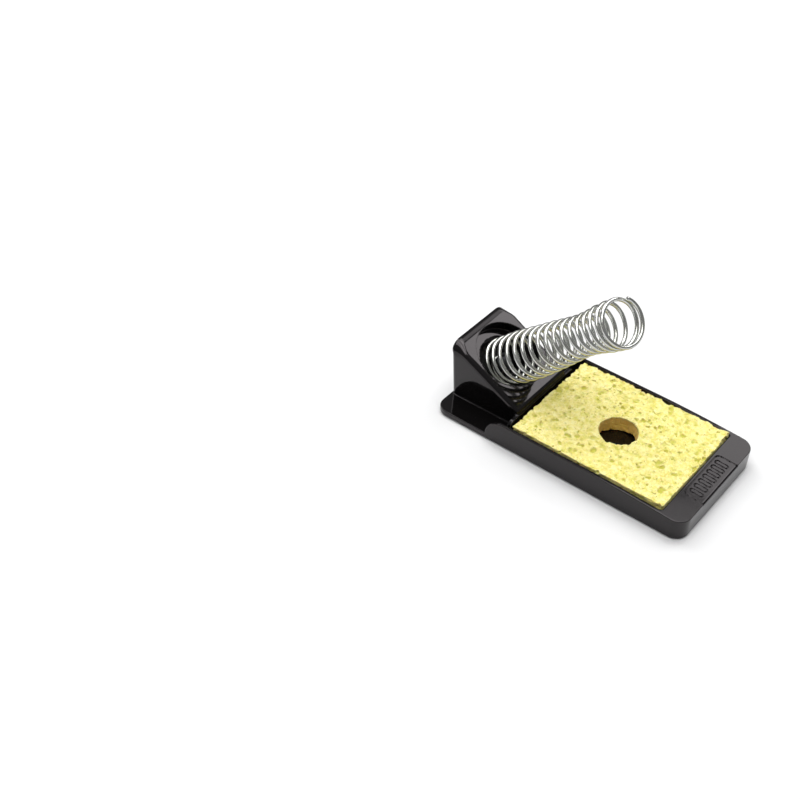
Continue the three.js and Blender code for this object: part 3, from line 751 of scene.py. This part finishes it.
class Nodes:
    """A few helpers for building a material's node tree."""

    def __init__(self, name):
        self.m = bpy.data.materials.new(name)
        self.m.use_nodes = True
        self.t = self.m.node_tree
        self.t.nodes.clear()
        self.out = self.t.nodes.new("ShaderNodeOutputMaterial")
        self.b = self.t.nodes.new("ShaderNodeBsdfPrincipled")
        self.link(self.b.outputs[0], self.out.inputs["Surface"])

    def link(self, a, b):
        self.t.links.new(a, b)

    def new(self, kind, **k):
        n = self.t.nodes.new("ShaderNode" + kind)
        for key, v in k.items():
            setattr(n, key, v)
        return n

    def put(self, socket, value):
        if hasattr(value, "is_linked") or hasattr(value, "links"):
            self.link(value, socket)
        else:
            socket.default_value = value

    def coords(self, kind="Object"):
        return self.new("TexCoord").outputs[kind]

    def uv(self, name):
        n = self.new("UVMap")
        n.uv_map = name
        return n.outputs[0]

    def attribute(self, name):
        n = self.new("Attribute")
        n.attribute_name = name
        return n.outputs["Fac"]

    def scaled(self, vector, scale):
        n = self.new("Mapping")
        self.link(vector, n.inputs["Vector"])
        n.inputs["Scale"].default_value = scale
        return n.outputs[0]

    def noise(self, vector, scale, detail=3.0, rough=0.5, distortion=0.0):
        n = self.new("TexNoise")
        self.link(vector, n.inputs["Vector"])
        n.inputs["Scale"].default_value = scale
        n.inputs["Detail"].default_value = detail
        n.inputs["Roughness"].default_value = rough
        n.inputs["Distortion"].default_value = distortion
        return n.outputs["Fac"]

    def voronoi(self, vector, scale, feature="F1", out="Distance"):
        n = self.new("TexVoronoi", feature=feature)
        self.link(vector, n.inputs["Vector"])
        n.inputs["Scale"].default_value = scale
        return n.outputs[out]

    def span(self, value, a, b, c, d, clamp=True):
        n = self.new("MapRange", clamp=clamp)
        self.link(value, n.inputs["Value"])
        for k, v in zip(("From Min", "From Max", "To Min", "To Max"), (a, b, c, d)):
            n.inputs[k].default_value = v
        return n.outputs["Result"]

    def math(self, op, a, b=0.0):
        n = self.new("Math", operation=op)
        self.put(n.inputs[0], a)
        self.put(n.inputs[1], b)
        return n.outputs[0]

    def mix(self, fac, a, b, blend="MIX"):
        n = self.new("Mix", data_type="RGBA", blend_type=blend)
        self.put(n.inputs[0], fac)
        for s, v in ((n.inputs[6], a), (n.inputs[7], b)):
            if isinstance(v, tuple):
                s.default_value = v if len(v) == 4 else (*v, 1)
            else:
                self.link(v, s)
        return n.outputs[2]

    def bump(self, height, strength, distance, normal=None):
        n = self.new("Bump")
        self.link(height, n.inputs["Height"])
        n.inputs["Strength"].default_value = strength
        n.inputs["Distance"].default_value = distance
        if normal is not None:
            self.link(normal, n.inputs["Normal"])
        return n.outputs[0]

    def done(self, color=None, rough=None, normal=None, metallic=None, **k):
        s = self.b.inputs
        if color is not None:
            if isinstance(color, tuple):
                s["Base Color"].default_value = (*color, 1)
            else:
                self.link(color, s["Base Color"])
        if rough is not None:
            self.put(s["Roughness"], rough)
        if normal is not None:
            self.link(normal, s["Normal"])
        if metallic is not None:
            self.put(s["Metallic"], metallic)
        for key, v in k.items():
            s[key.replace("_", " ")].default_value = v
        return self.m


def black_plastic():
    n = Nodes("gloss_black_plastic")
    v = n.coords()
    broad = n.noise(v, 38, 3, 0.55)
    smear = n.noise(n.scaled(v, (1, 0.35, 1)), 260, 4, 0.6, 0.4)
    specks = n.span(n.voronoi(v, 420), 0.0, 0.09, 1.0, 0.0)
    sparse = n.span(n.noise(v, 95, 2, 0.5), 0.62, 0.70, 0.0, 1.0)
    dust = n.math("MULTIPLY", specks, sparse)
    color = n.mix(n.span(broad, 0.3, 0.7, 0, 1), (0.0022, 0.0021, 0.0023), (0.0036, 0.0033, 0.0033))
    color = n.mix(n.math("MULTIPLY", dust, 0.5), color, (0.16, 0.155, 0.15))
    rough = n.math("ADD", n.span(smear, 0.35, 0.75, 0.05, 0.105), n.math("MULTIPLY", dust, 0.3))
    # moulded skin: a faint long-wave unevenness and a very fine grain
    h = n.math("ADD", n.math("MULTIPLY", n.noise(v, 55, 2, 0.4), 1.0), n.math("MULTIPLY", n.noise(v, 1700, 2, 0.6), 0.05))
    bump = n.bump(h, 0.10, 0.00035)
    return n.done(color, rough, bump, 0.0, IOR=1.45, Specular_Tint=(1.0, 0.93, 0.95, 1.0))


def zinc_wire():
    n = Nodes("bright_zinc_wire")
    uv = n.uv("wire")
    v = n.coords()
    lines = n.noise(n.scaled(uv, (26, 0.16, 1)), 1.0, 4, 0.65)
    mottled = n.noise(v, 120, 3, 0.6)
    warm = n.noise(v, 42, 3, 0.5)
    color = n.mix(n.span(mottled, 0.35, 0.7, 0, 1), (0.67, 0.68, 0.655), (0.56, 0.57, 0.545))
    color = n.mix(n.span(warm, 0.45, 0.7, 0, 0.42), color, (0.58, 0.555, 0.45))
    pits = n.span(n.voronoi(v, 900), 0.0, 0.14, 1.0, 0.0)
    some = n.span(n.noise(v, 300, 2, 0.5), 0.6, 0.68, 0, 1)
    mark = n.math("MULTIPLY", pits, some)
    color = n.mix(n.math("MULTIPLY", mark, 0.45), color, (0.30, 0.28, 0.26))
    rough = n.math("ADD", n.span(lines, 0.3, 0.75, 0.16, 0.28), n.math("MULTIPLY", mark, 0.2))
    h = n.math("SUBTRACT", n.math("MULTIPLY", lines, 1.0), n.math("MULTIPLY", mark, 0.6))
    bump = n.bump(h, 0.16, 0.00006)
    # the low Specular Tint darkens the wire's reflection toward its edges: painted shade for the dark lines between the
    # turns
    return n.done(color, rough, bump, 1.0, Specular_Tint=(0.34, 0.35, 0.34, 1.0))


def foam():
    n = Nodes("cellulose_sponge")
    v = n.coords()
    pore_shade = n.attribute("pore")
    cut = n.attribute("cut")
    patches = n.noise(v, 55, 4, 0.6)
    spots = n.noise(v, 260, 3, 0.6, 0.3)
    fine = n.noise(v, 620, 3, 0.65)
    cells = n.voronoi(v, 700)
    dots = n.span(cells, 0.06, 0.3, 1.0, 0.0)
    some = n.span(n.noise(v, 210, 3, 0.6), 0.48, 0.66, 0, 1)
    speck = n.math("MULTIPLY", dots, some)
    color = n.mix(n.span(patches, 0.35, 0.68, 0, 1), (0.87, 0.765, 0.275), (0.81, 0.72, 0.205))
    color = n.mix(n.span(spots, 0.50, 0.64, 0, 0.8), color, (0.68, 0.62, 0.085))
    color = n.mix(n.span(spots, 0.46, 0.32, 0, 0.8), color, (0.93, 0.86, 0.42))
    color = n.mix(n.span(fine, 0.45, 0.7, 0, 0.7), color, (0.96, 0.91, 0.44))
    grit = n.noise(v, 1250, 2, 0.6)
    color = n.mix(n.span(grit, 0.55, 0.68, 0, 0.6), color, (0.58, 0.45, 0.14))
    color = n.mix(n.math("MULTIPLY", speck, 0.75), color, (0.50, 0.44, 0.09))
    # painted shade: the colour turns dark olive with depth below the foam's outer face, in the pores and dimples
    color = n.mix(n.span(pore_shade, 0.16, 0.8, 0, 0.9), color, (0.50, 0.47, 0.05))
    color = n.mix(n.math("MULTIPLY", cut, 0.8), color, (0.92, 0.60, 0.12))
    h = n.math("ADD", n.math("MULTIPLY", fine, 0.6), n.math("MULTIPLY", speck, -1.2))
    h = n.math("ADD", h, n.math("MULTIPLY", n.noise(v, 1500, 2, 0.6), 0.3))
    bump = n.bump(h, 0.95, 0.0006)
    return n.done(color, n.span(fine, 0.3, 0.7, 0.82, 0.97), bump, 0.0, Sheen_Weight=0.12, Sheen_Roughness=0.5,
                  Subsurface_Weight=0.12, Subsurface_Scale=0.002)


# near-black colour so the screw and washer in the coil's seat stay as dark as the shade round them: painted shade, also
# used on the plate screws underneath
def zinc_part():
    n = Nodes("near_black_fastener_painted_shade")
    v = n.coords()
    a = n.noise(v, 900, 3, 0.6)
    b = n.noise(v, 260, 3, 0.6)
    color = n.mix(n.span(b, 0.35, 0.7, 0, 1), (0.075, 0.075, 0.08), (0.05, 0.05, 0.055))
    color = n.mix(n.span(a, 0.5, 0.8, 0, 0.5), color, (0.11, 0.105, 0.10))
    bump = n.bump(n.noise(n.scaled(v, (1, 1, 0.3)), 2600, 3, 0.6), 0.2, 0.00004)
    return n.done(color, n.span(a, 0.3, 0.7, 0.34, 0.5), bump, 1.0)


def rolled_steel():
    n = Nodes("rolled_steel_sheet")
    v = n.coords()
    roll = n.noise(n.scaled(v, (1, 0.03, 1)), 1500, 4, 0.6)
    cloud = n.noise(v, 40, 4, 0.6, 0.5)
    stain = n.span(n.noise(v, 85, 4, 0.65), 0.58, 0.74, 0, 1)
    color = n.mix(n.span(cloud, 0.3, 0.7, 0, 1), (0.42, 0.425, 0.43), (0.32, 0.32, 0.325))
    color = n.mix(n.math("MULTIPLY", stain, 0.5), color, (0.22, 0.19, 0.165))
    rough = n.math("ADD", n.span(roll, 0.3, 0.7, 0.30, 0.44), n.math("MULTIPLY", stain, 0.15))
    scratch = n.span(n.noise(n.scaled(v, (0.05, 1, 1)), 900, 2, 0.5), 0.66, 0.70, 0, 1)
    h = n.math("SUBTRACT", roll, n.math("MULTIPLY", scratch, 0.5))
    return n.done(color, rough, n.bump(h, 0.25, 0.00006), 1.0)


def rubber():
    n = Nodes("foot_rubber_matt")
    v = n.coords()
    a = n.noise(v, 700, 4, 0.65)
    dust = n.span(n.noise(v, 180, 3, 0.6), 0.5, 0.75, 0, 1)
    color = n.mix(n.math("MULTIPLY", dust, 0.4), (0.018, 0.018, 0.019), (0.06, 0.058, 0.055))
    return n.done(color, n.span(a, 0.3, 0.7, 0.7, 0.9), n.bump(a, 0.4, 0.00012), 0.0)


def finish_with(ob, material):
    ob.data.materials.clear()
    ob.data.materials.append(material)


plastic, wire, cell, zinc, steel, rub = black_plastic(), zinc_wire(), foam(), zinc_part(), rolled_steel(), rubber()
finish_with(base, plastic)
finish_with(spring, wire)
finish_with(sponge, cell)
for o in (washer, seat_screw, *plate_screws):
    finish_with(o, zinc)
finish_with(plate, steel)
for o in feet:
    finish_with(o, rub)


# ---------------------------------------------------------- bodies and bookkeeping

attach(base, "stand")
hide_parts("base_moulding")

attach(spring, "coil")
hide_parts("holder_spring")

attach(sponge, "sponge_pad")
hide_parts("sponge")

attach(washer, "stand")
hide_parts("retainer_washer")
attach(seat_screw, "stand")
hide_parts("retainer_screw")
for i, o in enumerate(plate_screws):
    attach(o, "stand")
    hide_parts(f"plate_screw_{i + 1}")
for i, o in enumerate(feet):
    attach(o, "stand")
    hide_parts(f"rubber_foot_{i + 1}")
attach(plate, "stand")
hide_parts("ballast_plate")


# ------------------------------------------------------------- floor and lights

floor_mesh = bpy.data.meshes.new("floor")
N = 24
span = 6.0
grid = [(-span / 2 + span * i / N, -span / 2 + span * j / N, 0) for j in range(N + 1) for i in range(N + 1)]
cells_ = [(j * (N + 1) + i, j * (N + 1) + i + 1, (j + 1) * (N + 1) + i + 1, (j + 1) * (N + 1) + i) for j in range(N) for i in range(N)]
floor_mesh.from_pydata(grid, [], cells_)
floor_mesh.update()
floor = bpy.data.objects.new("floor", floor_mesh)
bpy.context.scene.collection.objects.link(floor)
fl = Nodes("pale_floor")
fl.b.inputs["Specular IOR Level"].default_value = 0.0
finish_with(floor, fl.done((0.775, 0.775, 0.775), 0.9, None, 0.0))

world = bpy.data.worlds.new("studio")
bpy.context.scene.world = world
world.use_nodes = True
wt = world.node_tree
wt.nodes.clear()
wo = wt.nodes.new("ShaderNodeOutputWorld")
bg = wt.nodes.new("ShaderNodeBackground")
wt.links.new(bg.outputs[0], wo.inputs[0])
tc = wt.nodes.new("ShaderNodeTexCoord")
sep = wt.nodes.new("ShaderNodeSeparateXYZ")
wt.links.new(tc.outputs["Generated"], sep.inputs[0])
ramp = wt.nodes.new("ShaderNodeValToRGB")
wt.links.new(sep.outputs["Z"], ramp.inputs[0])
ramp.color_ramp.elements[0].position = 0.0
ramp.color_ramp.elements[0].color = (0.20, 0.20, 0.205, 1)
ramp.color_ramp.elements[1].position = 0.9
ramp.color_ramp.elements[1].color = (0.26, 0.26, 0.265, 1)
wt.links.new(ramp.outputs[0], bg.inputs["Color"])
bg.inputs["Strength"].default_value = 1.0


def softbox(name, direction, distance, size_x, size_y, radiance, target=(0, 0, 0.02)):
    d = Vector(direction).normalized()
    light = bpy.data.lights.new(name, "AREA")
    light.shape = "RECTANGLE"
    light.size, light.size_y = size_x, size_y
    light.energy = radiance * math.pi * size_x * size_y
    ob = bpy.data.objects.new(name, light)
    ob.location = Vector(target) + d * distance
    ob.rotation_euler = (-d).to_track_quat("-Z", "Y").to_euler()
    bpy.context.scene.collection.objects.link(ob)
    return ob


def toward(azimuth, elevation):
    a, e = math.radians(azimuth), math.radians(elevation)
    return (math.cos(a) * math.cos(e), math.sin(a) * math.cos(e), math.sin(e))


softbox("key_left", toward(-21.8, 37.5), 5.0, 1.02, 1.67, 3.9)
softbox("key_right", toward(-0.6, 37.5), 5.0, 1.80, 1.67, 2.5)
softbox("key_edge", toward(2.0, 49.2), 5.0, 1.5, 0.34, 1.6)
softbox("back", toward(78, 50), 2.4, 1.3, 1.3, 4.0)
softbox("overhead", toward(38, 89), 2.2, 1.5, 1.5, 2.9)
softbox("high_right", toward(2, 65), 2.4, 1.3, 1.1, 3.4)
softbox("high_left", toward(168, 66), 2.4, 1.3, 1.1, 3.0)


# ---------------------------------------------------------------------- camera

cam = bpy.data.cameras.new("camera")
cam.sensor_fit = "HORIZONTAL"
cam.sensor_width = 36.0
cam.lens = 56.77
cam.clip_start, cam.clip_end = 0.05, 20
camera = bpy.data.objects.new("camera", cam)
right = Vector((0.63048671, -0.77610743, 0.01199014))
down = Vector((-0.50895625, -0.42502529, -0.74854327))
forward = Vector((0.58604611, 0.46584413, -0.66297753))
m = Matrix((right, -down, -forward)).transposed().to_4x4()
m.translation = Vector((-0.480139, -0.242558, (491.040 + FOOT_PROUD) / 1000))
camera.matrix_world = m
bpy.context.scene.collection.objects.link(camera)
bpy.context.scene.camera = camera

bpy.context.scene.view_settings.view_transform = "Standard"
bpy.context.scene.view_settings.look = "None"

bpy.context.view_layer.update()
